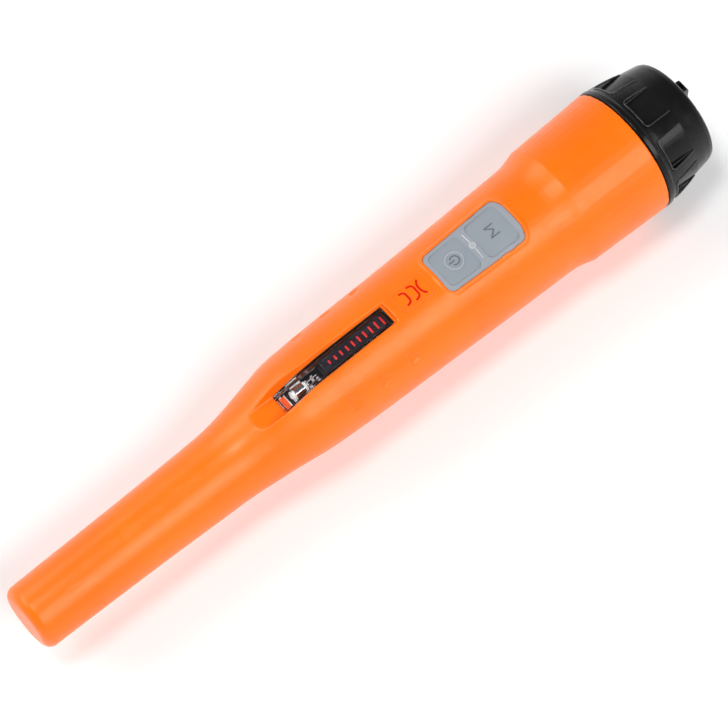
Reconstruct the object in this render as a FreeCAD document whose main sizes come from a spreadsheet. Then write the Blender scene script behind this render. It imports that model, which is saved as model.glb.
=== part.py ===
import FreeCAD, Part
import math
import operator
import os

import Sketcher

# Pinpointer probe: a hand-held metal locator. One moulded housing runs from the slim sensing probe
# through a humped handle to a flared collar. A screw cap closes the battery end.
#
# Every sub-part is drawn in the probe's own frame: x runs from the flat tip (0) to the lanyard bar,
# y goes to the side and z is up, both from the collar's axis. Placement then lifts the whole probe so
# that the collar's lowest point is at z = 0 and the middle of its length is at x = 0.

SIZES = {
    # overall
    "total_length": 238.0,
    "collar_radius": 20.0,
    "crease_start": 187.0,
    "crease_radius": 18.95,
    # walls of the housing
    "probe_wall": 1.6,
    "handle_wall": 1.9,
    "collar_bore": 18.0,
    "tip_wall": 2.0,
    "tip_round": 3.0,
    "collar_end": 215.05,
    # trough and window
    "trough_start": 79.5,
    "trough_end": 129.0,
    "trough_floor": 11.8,
    "trough_half_width": 3.1,
    "window_start": 89.6,
    "window_end": 128.3,
    "window_top": 15.2,
    "tray_half_width": 5.2,
    "tray_floor": 9.8,
    "lens_wall": 0.9,
    "lens_gap": 0.04,
    # keypad
    "pad_start": 145.6,
    "pad_end": 172.2,
    "pad_front_half": 6.8,
    "pad_rear_half": 7.8,
    "pad_bulge": 1.1,
    "pad_floor": 14.0,
    "pad_web": 1.2,
    "pad_front_radius": 16.45,
    "pad_rear_radius": 17.0,
    "pad_border": 1.3,
    "pad_corner": 2.2,
    "key_corner": 1.8,
    "lip_width": 0.9,
    "lip_height": 0.3,
    "lip_stock": 4.5,
    "lip_rear_share": 0.6,
    "lip_bulge_share": 0.4,
    "lip_run_front": 2.0,
    "lip_run_rear": 4.0,
    "key_gap": 0.2,
    "key_sink": 0.25,
    "key_travel": 0.35,
    "key_lift": 0.5,
    "divider_at": 159.1,
    "divider_half": 1.3,
    "power_at": 152.4,
    "mode_at": 166.1,
    "stem_radius": 1.7,
    "stem_clearance": 0.3,
    # flat foot under the collar
    "foot_start": 195.0,
    "foot_end": 213.0,
    "foot_half": 4.5,
    "foot_height": 1.6,
    # grip notches
    "notch_first": 104.5,
    "notch_pitch": 10.5,
    "notch_length": 4.4,
    "notch_height": 4.6,
    "notch_lean": 51.5,
    "notch_depth": 0.6,
    "notch_clear": 1.0,
    "notch_dip": 4.0,
    # electronics
    "board_thick": 1.2,
    "lamp_board_top": 8.4,
    "lamp_start": 93.6,
    "lamp_end": 99.0,
    "lamp_axis": 10.3,
    "lamp_radius": 1.25,
    "label_start": 105.0,
    "label_end": 127.2,
    "label_top": 13.7,
    "label_thick": 0.2,
    "label_half_width": 2.2,
    "main_board_start": 106.0,
    "main_board_end": 180.0,
    "main_board_top": 5.2,
    "main_board_half": 10.0,
    "switch_board_top": 10.2,
    "switch_board_half": 6.5,
    "switch_half": 2.6,
    "switch_top": 12.0,
    "plunger_radius": 1.1,
    "plunger_top": 12.5,
    "pipe_radius": 0.75,
    # sensing coils
    "ferrite_start": 7.0,
    "ferrite_end": 86.0,
    "ferrite_radius": 4.0,
    "former_radius": 5.0,
    "former_flange": 7.6,
    "coil_radius": 7.0,
    # motor
    "motor_start": 114.0,
    "motor_end": 126.0,
    "motor_radius": 3.1,
    "motor_axis": -3.1,
    "motor_shaft": 0.5,
    "weight_start": 127.0,
    "weight_end": 131.0,
    "weight_radius": 2.7,
    # battery
    "battery_start": 186.4,
    "battery_end": 231.8,
    "battery_wide": 26.0,
    "battery_deep": 17.0,
    "battery_corner": 3.0,
    "terminal_start": 183.4,
    "terminal_offset": 6.35,
    "bay_wall": 1.1,
    "bay_start": 180.6,
    "bay_end": 197.6,
    # neck and its thread
    "neck_start": 198.0,
    "neck_end": 228.0,
    "neck_fit_radius": 17.95,
    "neck_bore": 14.9,
    "neck_root": 16.0,
    "thread_pitch": 3.0,
    "thread_top": 16.7,
    "thread_base_width": 1.3,
    "thread_crest_width": 0.8,
    "thread_start": 219.2,
    "neck_thread_turns": 2.6,
    "cap_thread_turns": 2.4,
    # cap
    "cap_start": 215.35,
    "flange_end": 217.4,
    "cap_rim": 235.4,
    "cap_bore": 16.95,
    "cap_thread_tip": 16.2,
    "seal_bore": 18.5,
    "seal_end": 216.8,
    "cap_thread_end": 229.2,
    "cap_well": 15.2,
    "cap_inner_end": 233.0,
    "pocket_floor": 17.85,
    "pocket_angle": 31.0,
    "pocket_inset": 0.9,
    "pocket_count": 8.0,
    "dish_floor": 234.3,
    "dish_radius": 11.0,
    "bar_half_width": 1.9,
    "bar_half_length": 13.6,
    "bar_foot_gap": 0.2,
    "bar_flare": 0.3,
    "bar_bevel_along": 0.7,
    "bar_bevel_across": 1.6,
    "bar_skin": 0.9,
    "bar_core_roof": 0.75,
    "bar_core_start": 2.0,
    "bar_core_depth": 5.5,
    "lug_height": 0.35,
    "lug_root": 1.0,
    "lug_inner": 12.4,
    "lug_top_inner": 12.6,
    "lug_top_outer": 14.4,
    "lug_outer": 15.4,
    "lug_length": 8.0,
    "eye_at": 236.55,
    "eye_radius": 0.9,
}

# Round sections of the housing from tip to collar: distance from the tip, radius, and how far the
# section's centre stands above the collar's axis. The probe droops, then the back humps up. The last
# ones rise past the collar's cone, which cuts them off at the crease.
STATIONS = {
    "tip": (0.0, 9.9, 0.0),
    "nose": (12.0, 10.05, 0.0),
    "probe": (38.0, 10.45, -0.5),
    "waist": (60.0, 11.0, -1.05),
    "throat": (71.0, 11.4, -1.05),
    "rise": (80.0, 12.55, -0.2),
    "slope": (88.0, 13.85, 1.1),
    "brow": (94.0, 14.85, 1.65),
    "hump": (101.0, 15.35, 1.45),
    "back": (114.0, 15.85, 1.0),
    "grip": (133.0, 16.25, 0.4),
    "handle": (154.0, 16.75, 0.0),
    "palm": (170.0, 17.2, 0.0),
    "heel": (180.0, 17.45, 0.0),
    "flare": (184.6, 17.75, 0.0),
    "shoulder": (189.6, 19.15, 0.0),
    "band": (193.5, 20.2, 0.0),
    "collar_middle": (203.0, 20.7, 0.0),
    "mouth": (215.05, 20.8, 0.0),
}

# The screw cap's side beyond its flange, then its rounded end: distance and radius.
CAP_FLANK = ((0.15, 19.55), (2.2, 19.4), (4.8, 19.05), (7.6, 18.5), (10.6, 17.75), (13.6, 17.3))
CAP_SHOULDER = ((1.8, 16.85), (0.7, 16.4), (0.15, 15.7), (0.0, 14.9))

# How many sections the housing's outside and inside are drawn through.
HOUSING_SECTIONS = 60
CORE_SECTIONS = 30


class Size:
    """A length that carries both its value and the sheet expression that it comes from."""

    def __init__(self, value, text):
        self.value = float(value)
        self.text = text

    def combine(self, other, sign, work):
        other = as_size(other)
        return Size(work(self.value, other.value), f"({self.text} {sign} {other.text})")

    def __add__(self, other):
        return self.combine(other, "+", operator.add)

    def __sub__(self, other):
        return self.combine(other, "-", operator.sub)

    def __mul__(self, other):
        return self.combine(other, "*", operator.mul)

    def __truediv__(self, other):
        return self.combine(other, "/", operator.truediv)

    def __neg__(self):
        return Size(-self.value, f"(0 - {self.text})")


def as_size(number):
    if isinstance(number, Size):
        return number
    return Size(number, f"{number:.6g}" if number >= 0 else f"(0 - {-number:.6g})")


class Sheet:
    """The document's spreadsheet. Each driving dimension is an attribute, as a Size."""

    def __init__(self, document, numbers):
        self.cells = document.addObject("Spreadsheet::Sheet", "Sizes")
        for row, (alias, number) in enumerate(numbers.items(), 1):
            self.cells.set(f"A{row}", alias)
            self.cells.set(f"B{row}", f"{number:g}")
            self.cells.setAlias(f"B{row}", alias)
            setattr(self, alias, Size(number, f"Sizes.{alias}"))


doc = FreeCAD.newDocument("pinpointer_probe")
numbers = dict(SIZES)
for station, (at, radius, rise) in STATIONS.items():
    numbers[f"{station}_at"] = at
    numbers[f"{station}_radius"] = radius
    numbers[f"{station}_rise"] = rise
d = Sheet(doc, numbers)
doc.recompute()

nodes = []


# ---------------------------------------------------------------- drawing helpers


def keep(item, label):
    """Names a finished sub-part and puts it on the list of exported nodes."""
    item.Label = label
    nodes.append(item)
    return item


def bind(item, **sizes):
    for name, value in sizes.items():
        item.setExpression(name, as_size(value).text)
    return item


def place(item, x=0, y=0, z=0):
    """Puts an item drawn in the probe's frame where the whole probe stands."""
    item.setExpression(".Placement.Base.x", (as_size(x) - d.total_length / 2).text)
    item.setExpression(".Placement.Base.y", as_size(y).text)
    item.setExpression(".Placement.Base.z", (as_size(z) + d.collar_radius).text)
    return item


def new_body(name):
    return place(doc.addObject("PartDesign::Body", name))


def new_sketch(body, role, offset=0):
    """A sketch on one of the body's own origin planes, moved along that plane's normal."""
    sketch = body.newObject("Sketcher::SketchObject", "Sketch")
    plane = next(f for f in body.Origin.OriginFeatures if f.Role == role)
    sketch.AttachmentSupport = (plane, [""])
    sketch.MapMode = "FlatFace"
    if offset is not None:
        sketch.setExpression(".AttachmentOffset.Base.z", as_size(offset).text)
    return sketch


def pin_point(sketch, geometry, vertex, point):
    """Holds a vertex at a distance from the sketch's origin along each of its axes."""
    for kind, axis, coordinate in zip(("DistanceX", "DistanceY"), (-2, -1), point):
        coordinate = as_size(coordinate)
        if coordinate.value == 0:
            sketch.addConstraint(Sketcher.Constraint("PointOnObject", geometry, vertex, axis))
            continue
        constraint = Sketcher.Constraint(kind, -1, 1, geometry, vertex, coordinate.value)
        number = sketch.addConstraint(constraint)
        sketch.setExpression(f"Constraints[{number}]", coordinate.text)


def draw_polygon(sketch, points):
    first = sketch.GeometryCount
    count = len(points)
    ends = [FreeCAD.Vector(as_size(a).value, as_size(b).value, 0) for a, b in points]
    for i in range(count):
        sketch.addGeometry(Part.LineSegment(ends[i], ends[(i + 1) % count]), False)
    for i in range(count):
        before = first + (i - 1) % count
        sketch.addConstraint(Sketcher.Constraint("Coincident", before, 2, first + i, 1))
        pin_point(sketch, first + i, 1, points[i])


def draw_circle(sketch, x, y, radius):
    centre = FreeCAD.Vector(as_size(x).value, as_size(y).value, 0)
    circle = Part.Circle(centre, FreeCAD.Vector(0, 0, 1), radius.value)
    index = sketch.addGeometry(circle, False)
    pin_point(sketch, index, 3, (x, y))
    number = sketch.addConstraint(Sketcher.Constraint("Radius", index, radius.value))
    sketch.setExpression(f"Constraints[{number}]", radius.text)


def volume_change(body, feature, cuts):
    """Recomputes the document and makes sure that a feature really adds or removes material."""
    before = feature.BaseFeature.Shape.Volume if feature.BaseFeature else 0
    doc.recompute()
    change = feature.Shape.Volume - before
    if (change < -1e-6) != cuts or abs(change) < 1e-6:
        raise RuntimeError(f"{body.Name}: {feature.Name} changes the volume by {change:.4f}")
    return feature


def pad(body, sketch, length, middle=False, back=False):
    feature = body.newObject("PartDesign::Pad", "Pad")
    feature.Profile = sketch
    feature.Midplane = middle
    feature.Reversed = back
    bind(feature, Length=length)
    return volume_change(body, feature, False)


def pocket(body, sketch, length, middle=False, back=False):
    feature = body.newObject("PartDesign::Pocket", "Pocket")
    feature.Profile = sketch
    feature.Midplane = middle
    feature.Reversed = back
    bind(feature, Length=length)
    return volume_change(body, feature, True)


def revolve(body, points, angle=360, cut=False):
    """Turns an outline in the x-z plane about the x axis; a part turn is centred on the z axis."""
    sketch = new_sketch(body, "XZ_Plane")
    draw_polygon(sketch, points)
    kind = "PartDesign::Groove" if cut else "PartDesign::Revolution"
    feature = body.newObject(kind, "Turned")
    feature.Profile = sketch
    feature.ReferenceAxis = (sketch, ["H_Axis"])
    feature.Midplane = as_size(angle).value < 360
    bind(feature, Angle=angle)
    return volume_change(body, feature, cut)


def rounded(body, radius, picker):
    """Rounds the edges of the body's latest shape for which picker(edge) is true."""
    tip = body.Tip
    names = [f"Edge{i}" for i, edge in enumerate(tip.Shape.Edges, 1) if picker(edge)]
    if not names:
        raise RuntimeError(f"{body.Name} has no edge to round")
    feature = body.newObject("PartDesign::Fillet", "Round")
    feature.Base = (tip, names)
    bind(feature, Radius=radius)
    doc.recompute()
    if feature.Shape.isNull() or "Invalid" in feature.State:
        raise RuntimeError(f"{body.Name}: {len(names)} edges can't be rounded")
    return feature


def turned(label, points):
    body = new_body(label)
    revolve(body, points)
    return keep(body, label)


def block(label, x_range, y_range, z_range):
    """A plain box between two values along each axis of the probe's frame."""
    box = doc.addObject("Part::Box", label)
    spans = [as_size(high) - low for low, high in (x_range, y_range, z_range)]
    bind(box, Length=spans[0], Width=spans[1], Height=spans[2])
    return place(box, x_range[0], y_range[0], z_range[0])


def rod(name, radius, length, x, y, z, along="z"):
    """A cylinder from (x, y, z) along +z, or along +x."""
    cylinder = doc.addObject("Part::Cylinder", name)
    bind(cylinder, Radius=radius, Height=length)
    if along == "x":
        cylinder.Placement.Rotation = FreeCAD.Rotation(FreeCAD.Vector(0, 1, 0), 90)
    return place(cylinder, x, y, z)


def group(label, items):
    """Several separate solids that share one node."""
    compound = doc.addObject("Part::Compound", label)
    compound.Links = items
    return keep(compound, label)


def cut(label, base, tool):
    result = doc.addObject("Part::Cut", label)
    result.Base = base
    result.Tool = tool
    return result


# ---------------------------------------------------------------- main housing


def station_weights(at):
    """How much each station counts in the housing's section at a place: a smooth cubic blend."""
    names = list(STATIONS)
    places = [STATIONS[name][0] for name in names]
    last = len(places) - 1
    low = max(i for i in range(last) if places[i] <= at)
    span = places[low + 1] - places[low]
    t = (at - places[low]) / span
    weights = dict.fromkeys(names, 0.0)
    weights[names[low]] += (1 + 2 * t) * (1 - t) ** 2
    weights[names[low + 1]] += t * t * (3 - 2 * t)
    for i, share in ((low, t * (1 - t) ** 2), (low + 1, t * t * (t - 1))):
        before, after = max(i - 1, 0), min(i + 1, last)
        slope = share * span / (places[after] - places[before])
        weights[names[after]] += slope
        weights[names[before]] -= slope
    return {name: weight for name, weight in weights.items() if abs(weight) > 1e-9}


def section_size(at, kind):
    """The radius or the rise of the housing's section at a place."""
    total = as_size(0)
    for name, weight in station_weights(at).items():
        total = total + getattr(d, f"{name}_{kind}") * weight
    return total


def wall_at(at):
    """The housing's wall thickness: thin on the probe, thicker from the hump to the collar."""
    if at < d.throat_at.value:
        return d.probe_wall
    return d.handle_wall


def loft_along(body, start, end, steps, walled=False):
    """A smooth body through evenly spaced round sections, smaller by the wall if it is walled."""
    sections = []
    for step in range(steps + 1):
        share = step / steps
        at = start + (end - start) * share
        radius = section_size(at.value, "radius")
        if walled:
            radius = radius - wall_at(at.value)
        sketch = new_sketch(body, "YZ_Plane", at)
        draw_circle(sketch, 0, section_size(at.value, "rise"), radius)
        sections.append(sketch)
    loft = body.newObject("PartDesign::AdditiveLoft", "Loft")
    loft.Profile = sections[0]
    loft.Sections = sections[1:]
    return volume_change(body, loft, False)


def trapezoid_outline(sketch, front, rear, front_half, rear_half, bulge):
    """The keypad's plan: sides that widen towards the collar and a rear edge that bulges out."""
    side = rear_half * 0.55
    draw_polygon(
        sketch,
        [
            (front, front_half),
            (rear, rear_half),
            (rear + bulge, side),
            (rear + bulge, -side),
            (rear, -rear_half),
            (front, -front_half),
        ],
    )


def is_upright(edge):
    """True for a straight edge along z."""
    ends = [vertex.Point for vertex in edge.Vertexes]
    if len(ends) != 2:
        return False
    step = ends[1] - ends[0]
    return abs(step.z) > 0.2 and math.hypot(step.x, step.y) < 1e-4


def between(edge, low, high):
    """True for an edge whose middle lies between two places along the probe."""
    middle = edge.BoundBox.Center.x
    return low < middle < high


def round_tip(body):
    """Cuts the sharp edge off the flat tip with a quarter circle."""
    corner = d.tip_round
    flat = d.tip_radius - corner + 0.05
    sketch = new_sketch(body, "XZ_Plane")
    start = FreeCAD.Vector(0, flat.value, 0)
    end = FreeCAD.Vector(corner.value, flat.value + corner.value, 0)
    centre = FreeCAD.Vector(corner.value, flat.value, 0)
    top = FreeCAD.Vector(corner.value, end.y + 3, 0)
    out = FreeCAD.Vector(-1, end.y + 3, 0)
    low = FreeCAD.Vector(-1, flat.value, 0)
    circle = Part.Circle(centre, FreeCAD.Vector(0, 0, 1), corner.value)
    sketch.addGeometry(Part.ArcOfCircle(circle, math.pi / 2, math.pi), False)
    for a, b in ((end, top), (top, out), (out, low), (low, start)):
        sketch.addGeometry(Part.LineSegment(a, b), False)
    pin_point(sketch, 0, 3, (corner, flat))
    pin_point(sketch, 1, 1, (corner, flat + corner))
    pin_point(sketch, 2, 1, (corner, flat + corner + 3))
    pin_point(sketch, 3, 1, (-1, flat + corner + 3))
    pin_point(sketch, 4, 1, (-1, flat))
    sketch.addConstraint(Sketcher.Constraint("Horizontal", 4))
    sketch.addConstraint(Sketcher.Constraint("Coincident", 0, 1, 1, 1))
    for line in (1, 2, 3):
        sketch.addConstraint(Sketcher.Constraint("Coincident", line, 2, line + 1, 1))
    sketch.addConstraint(Sketcher.Constraint("Coincident", 4, 2, 0, 2))
    groove = body.newObject("PartDesign::Groove", "TipRound")
    groove.Profile = sketch
    groove.ReferenceAxis = (sketch, ["H_Axis"])
    return volume_change(body, groove, True)


def cut_notches(body):
    """Three small three-cornered grip notches on each side, smaller one by one, each deepest
    at its lower corner towards the tip."""
    for index in range(3):
        scale = 1 - 0.1 * index
        length = d.notch_length * scale
        half = d.notch_height * scale / 2
        for side in (1, -1):
            sketch = new_sketch(body, "XY_Plane", None)
            lean = FreeCAD.Rotation(FreeCAD.Vector(1, 0, 0), -side * d.notch_lean.value)
            dip = FreeCAD.Rotation(FreeCAD.Vector(0, 1, 0), -d.notch_dip.value)
            front = d.notch_first + d.notch_pitch * index
            middle = (front + length / 2).value
            rise = section_size(middle, "rise").value * math.cos(math.radians(d.notch_lean.value))
            reach = section_size(middle, "radius").value + rise + d.notch_clear.value
            corner = FreeCAD.Vector(front.value, 0, 0)
            offset = lean.multVec(FreeCAD.Vector(0, 0, reach) + corner - dip.multVec(corner))
            sketch.AttachmentOffset = FreeCAD.Placement(offset, lean.multiply(dip))
            draw_polygon(
                sketch,
                [
                    (front, half * side),
                    (front + length, half * side * 0.6),
                    (front + length * 0.35, half * -side),
                    (front, half * -side),
                ],
            )
            pocket(body, sketch, d.notch_depth + d.notch_clear)


def add_lip(body):
    """A low raised rim round the keypad, following the housing's round back."""
    width = d.lip_width
    low, high = d.pad_start - d.lip_run_front, d.pad_end + d.lip_run_rear
    ring = new_sketch(body, "XY_Plane", d.pad_floor)
    trapezoid_outline(
        ring,
        d.pad_start - width,
        d.pad_end + width * d.lip_rear_share,
        d.pad_front_half + width,
        d.pad_rear_half + width,
        d.pad_bulge + width * d.lip_bulge_share,
    )
    pad(body, ring, d.lip_stock)
    rounded(
        body,
        d.pad_corner + width,
        lambda edge: is_upright(edge)
        and between(edge, low.value, d.pad_end.value + 1)
        and abs(edge.BoundBox.Center.y) > d.pad_front_half.value + 0.4,
    )
    front = section_size(low.value, "radius") + d.lip_height
    rear = section_size(high.value, "radius") + d.lip_height
    revolve(
        body,
        [(low, front), (high, rear), (high, d.collar_radius + 2), (low, d.collar_radius + 2)],
        cut=True,
    )


def make_envelope():
    """The housing's outside as one solid, with everything that is let into its surface."""
    body = new_body("housing_envelope")
    loft_along(body, as_size(0), d.mouth_at, HOUSING_SECTIONS)
    round_tip(body)

    # the collar's cone, which cuts the flare off at a crease
    front, rear, clear = d.crease_start, d.mouth_at + 1, d.collar_radius + 4
    revolve(
        body,
        [(front, d.crease_radius), (rear, d.collar_radius), (rear, clear), (front, clear)],
        cut=True,
    )

    # the trough: sloping sides above a floor that climbs along the lens
    sections = []
    floors = (
        (d.trough_start, d.trough_floor + 0.7, 0.40),
        (d.window_start, d.trough_floor, 0.40),
        (d.window_start + 10, d.window_top - 0.75, 0.50),
        (d.trough_end, d.window_top + 0.05, 0.62),
    )
    ceiling = d.collar_radius - 1
    for at, floor, lean in floors:
        sketch = new_sketch(body, "YZ_Plane", at)
        top_half = d.trough_half_width + (ceiling - floor) * lean
        draw_polygon(
            sketch,
            [
                (d.trough_half_width, floor),
                (top_half, ceiling),
                (-top_half, ceiling),
                (-d.trough_half_width, floor),
            ],
        )
        sections.append(sketch)
    trough = body.newObject("PartDesign::SubtractiveLoft", "Trough")
    trough.Profile = sections[0]
    trough.Sections = sections[1:]
    trough.Ruled = True
    volume_change(body, trough, True)

    slot = new_sketch(body, "XY_Plane", ceiling)
    draw_polygon(
        slot,
        [
            (d.window_start, d.trough_half_width),
            (d.window_end, d.trough_half_width),
            (d.window_end, -d.trough_half_width),
            (d.window_start, -d.trough_half_width),
        ],
    )
    pocket(body, slot, ceiling - d.tray_floor + 2)

    # the keypad's seat in a low lip, with holes for the keys' stems and the light pipe
    add_lip(body)
    seat = new_sketch(body, "XY_Plane", d.collar_radius)
    trapezoid_outline(
        seat, d.pad_start, d.pad_end, d.pad_front_half, d.pad_rear_half, d.pad_bulge
    )
    pocket(body, seat, d.collar_radius - d.pad_floor)
    rounded(
        body,
        d.pad_corner,
        lambda edge: is_upright(edge)
        and between(edge, d.pad_start.value - 0.1, d.pad_end.value + 3)
        and abs(edge.BoundBox.Center.y) < d.pad_rear_half.value + 0.1,
    )
    stem_hole = d.stem_radius + d.stem_clearance
    for at, radius in (
        (d.power_at, stem_hole),
        (d.mode_at, stem_hole),
        (d.divider_at, d.pipe_radius + 0.05),
    ):
        hole = new_sketch(body, "XY_Plane", d.collar_radius)
        draw_circle(hole, at, 0, radius)
        pocket(body, hole, d.collar_radius - d.pad_floor + d.pad_web + 1)

    cut_notches(body)

    # a low flat foot under the collar, which keeps the round body from rolling
    foot = new_sketch(body, "XY_Plane", -d.collar_radius)
    draw_polygon(
        foot,
        [
            (d.foot_start, d.foot_half),
            (d.foot_end, d.foot_half),
            (d.foot_end, -d.foot_half),
            (d.foot_start, -d.foot_half),
        ],
    )
    pad(body, foot, d.foot_height)
    return body


def make_core():
    """The space inside the housing, open at the collar."""
    body = new_body("housing_core")
    loft_along(body, d.tip_wall, d.flare_at, CORE_SECTIONS, walled=True)
    bore_start = d.neck_start - 0.05
    revolve(
        body,
        [
            (d.flare_at - 0.5, 0),
            (d.flare_at - 0.5, d.flare_radius - d.handle_wall - 0.15),
            (bore_start - 3, d.collar_bore - 1.1),
            (bore_start, d.collar_bore - 1.1),
            (bore_start, d.collar_bore),
            (d.collar_end + 3, d.collar_bore),
            (d.collar_end + 3, 0),
        ],
    )
    # material left standing round the window and under the keypad
    tray = new_sketch(body, "XY_Plane", d.tray_floor)
    draw_polygon(
        tray,
        [
            (d.trough_start - 1, d.tray_half_width),
            (d.trough_end + 2, d.tray_half_width),
            (d.trough_end + 2, -d.tray_half_width),
            (d.trough_start - 1, -d.tray_half_width),
        ],
    )
    pocket(body, tray, 12, back=True)
    seat = new_sketch(body, "XY_Plane", d.pad_floor - d.pad_web)
    half = d.pad_rear_half + 1.6
    draw_polygon(
        seat,
        [
            (d.pad_start - 2, half),
            (d.pad_end + 4, half),
            (d.pad_end + 4, -half),
            (d.pad_start - 2, -half),
        ],
    )
    pocket(body, seat, 12, back=True)
    return body


housing = keep(cut("main_housing", make_envelope(), make_core()), "main_housing")


# ---------------------------------------------------------------- window and lamp


def flat_sided(label, points, half_width):
    """A body of constant width whose outline is drawn in the x-z plane."""
    body = new_body(label)
    sketch = new_sketch(body, "XZ_Plane")
    draw_polygon(sketch, points)
    pad(body, sketch, half_width * 2, middle=True)
    return body


def make_lens():
    """The clear window: a hood that rises from the trough's floor and runs level to its end."""
    gap = d.lens_gap
    wall = d.lens_wall
    start, end = d.window_start + gap, d.window_end - gap
    outline = [
        (start, d.tray_floor),
        (start, d.trough_floor - 0.05),
        (start + 5, d.window_top - 1.95),
        (start + 9.5, d.window_top - 0.8),
        (start + 16, d.window_top - 0.15),
        (start + 24, d.window_top),
        (end, d.window_top),
        (end, d.tray_floor),
    ]
    body = flat_sided("window_lens", outline, d.trough_half_width - gap)
    hollow = new_sketch(body, "XZ_Plane")
    draw_polygon(
        hollow,
        [
            (start + wall, d.tray_floor - 1),
            (start + wall, d.trough_floor - wall),
            (start + 5, d.window_top - 1.95 - wall * 1.15),
            (start + 9.5, d.window_top - 0.8 - wall),
            (start + 16, d.window_top - 0.15 - wall),
            (start + 24, d.window_top - wall),
            (end - wall, d.window_top - wall),
            (end - wall, d.tray_floor - 1),
        ],
    )
    pocket(body, hollow, (d.trough_half_width - gap - wall * 0.6) * 2, middle=True)
    return keep(body, "window_lens")


def make_lamp():
    """A small white lamp that points at the tip, in a chromed cup, with two leads."""
    start, end, axis = d.lamp_start, d.lamp_end, d.lamp_axis
    radius = d.lamp_radius
    lamp = doc.addObject("Part::MultiFuse", "white_lamp")
    dome = doc.addObject("Part::Sphere", "lamp_dome")
    bind(dome, Radius=radius)
    place(dome, start + radius, 0, axis)
    lamp.Shapes = [
        dome,
        rod("lamp_barrel", radius, end - start - radius, start + radius, 0, axis, "x"),
        rod("lamp_collar", radius + 0.2, 0.6, end - 0.6, 0, axis, "x"),
    ]
    keep(lamp, "white_lamp")

    cup = doc.addObject("Part::Cone", "reflector_outside")
    cup.Placement.Rotation = FreeCAD.Rotation(FreeCAD.Vector(0, 1, 0), 90)
    bind(cup, Radius1=radius + 0.55, Radius2=radius + 0.35, Height=3.2)
    place(cup, end - 4, 0, axis)
    bore = doc.addObject("Part::Cylinder", "reflector_bore")
    bore.Placement.Rotation = FreeCAD.Rotation(FreeCAD.Vector(0, 1, 0), 90)
    bind(bore, Radius=radius + 0.03, Height=6)
    place(bore, end - 5, 0, axis)
    keep(cut("lamp_reflector", cup, bore), "lamp_reflector")

    leads = [rod(f"lamp_lead_{name}", as_size(0.22), 4.2, end, y, axis, "x")
             for name, y in (("left", 0.64), ("right", -0.64))]
    group("lamp_leads", leads)


make_lens()
make_lamp()
keep(
    block(
        "lamp_board",
        (d.lamp_start - 1, d.label_end),
        (-d.label_half_width, d.label_half_width),
        (d.lamp_board_top - d.board_thick * 0.75, d.lamp_board_top),
    ),
    "lamp_board",
)
keep(
    block(
        "label_carrier",
        (d.label_start, d.label_end),
        (-d.label_half_width, d.label_half_width),
        (d.lamp_board_top, d.label_top - d.label_thick),
    ),
    "label_carrier",
)
keep(
    block(
        "window_label",
        (d.label_start + 0.3, d.label_end - 0.3),
        (-d.label_half_width + 0.1, d.label_half_width - 0.1),
        (d.label_top - d.label_thick, d.label_top),
    ),
    "window_label",
)


# ---------------------------------------------------------------- keypad


def pad_radius(at):
    """The keypad's top surface, a cone that widens a little towards the collar."""
    share = (at - d.pad_start) / (d.pad_end - d.pad_start)
    return d.pad_front_radius + (d.pad_rear_radius - d.pad_front_radius) * share


def crown(body, sink=0):
    """Trims a keypad piece to the cone, lowered by sink."""
    low, high = d.pad_start - 1, d.pad_end + 3
    revolve(
        body,
        [
            (low, pad_radius(low) - sink),
            (high, pad_radius(high) - sink),
            (high, d.collar_radius + 2),
            (low, d.collar_radius + 2),
        ],
        cut=True,
    )


def half_width_at(at):
    share = (at - d.pad_start) / (d.pad_end - d.pad_start)
    return d.pad_front_half + (d.pad_rear_half - d.pad_front_half) * share


def key_outline(front, rear, inset):
    """A key's plan: four corners inside the keypad's border."""
    front_half = half_width_at(front) - d.pad_border - inset
    rear_half = half_width_at(rear) - d.pad_border - inset
    low, high = front + inset, rear - inset
    return [(low, front_half), (high, rear_half), (high, -rear_half), (low, -front_half)]


def is_corner(edge, spans):
    """True for an edge that stands at the front or the rear of one of the spans."""
    middle = edge.BoundBox.Center.x
    return any(abs(middle - end.value) < 0.01 for span in spans for end in span)


def make_skin():
    body = new_body("keypad_skin")
    sketch = new_sketch(body, "XY_Plane", d.pad_floor)
    trapezoid_outline(
        sketch, d.pad_start, d.pad_end, d.pad_front_half, d.pad_rear_half, d.pad_bulge
    )
    pad(body, sketch, 4)
    rounded(body, d.pad_corner, is_upright)
    for front, rear in KEYS.values():
        hole = new_sketch(body, "XY_Plane", d.collar_radius)
        draw_polygon(hole, key_outline(front, rear, 0))
        pocket(body, hole, d.collar_radius - d.pad_floor + 1)
    rounded(
        body,
        d.key_corner,
        lambda edge: is_upright(edge) and abs(edge.BoundBox.Center.y) < d.pad_front_half.value
        and is_corner(edge, KEYS.values()),
    )
    crown(body)
    pipe = new_sketch(body, "XY_Plane", d.collar_radius)
    draw_circle(pipe, d.divider_at, 0, d.pipe_radius + 0.03)
    pocket(body, pipe, d.collar_radius - d.pad_floor + 1)
    return keep(body, "keypad_skin")


def make_key(name, at):
    """A key with its stem, which reaches through the housing to the switch."""
    front, rear = KEYS[name]
    body = new_body(f"{name}_key")
    sketch = new_sketch(body, "XY_Plane", d.pad_floor + d.key_lift)
    draw_polygon(sketch, key_outline(front, rear, d.key_gap))
    pad(body, sketch, 4)
    rounded(body, d.key_corner - d.key_gap, is_upright)
    crown(body, d.key_sink)
    stem = new_sketch(body, "XY_Plane", d.plunger_top)
    draw_circle(stem, at, 0, d.stem_radius)
    pad(body, stem, d.pad_floor + d.key_lift - d.plunger_top + 0.5)
    return keep(body, f"{name}_key")


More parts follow.
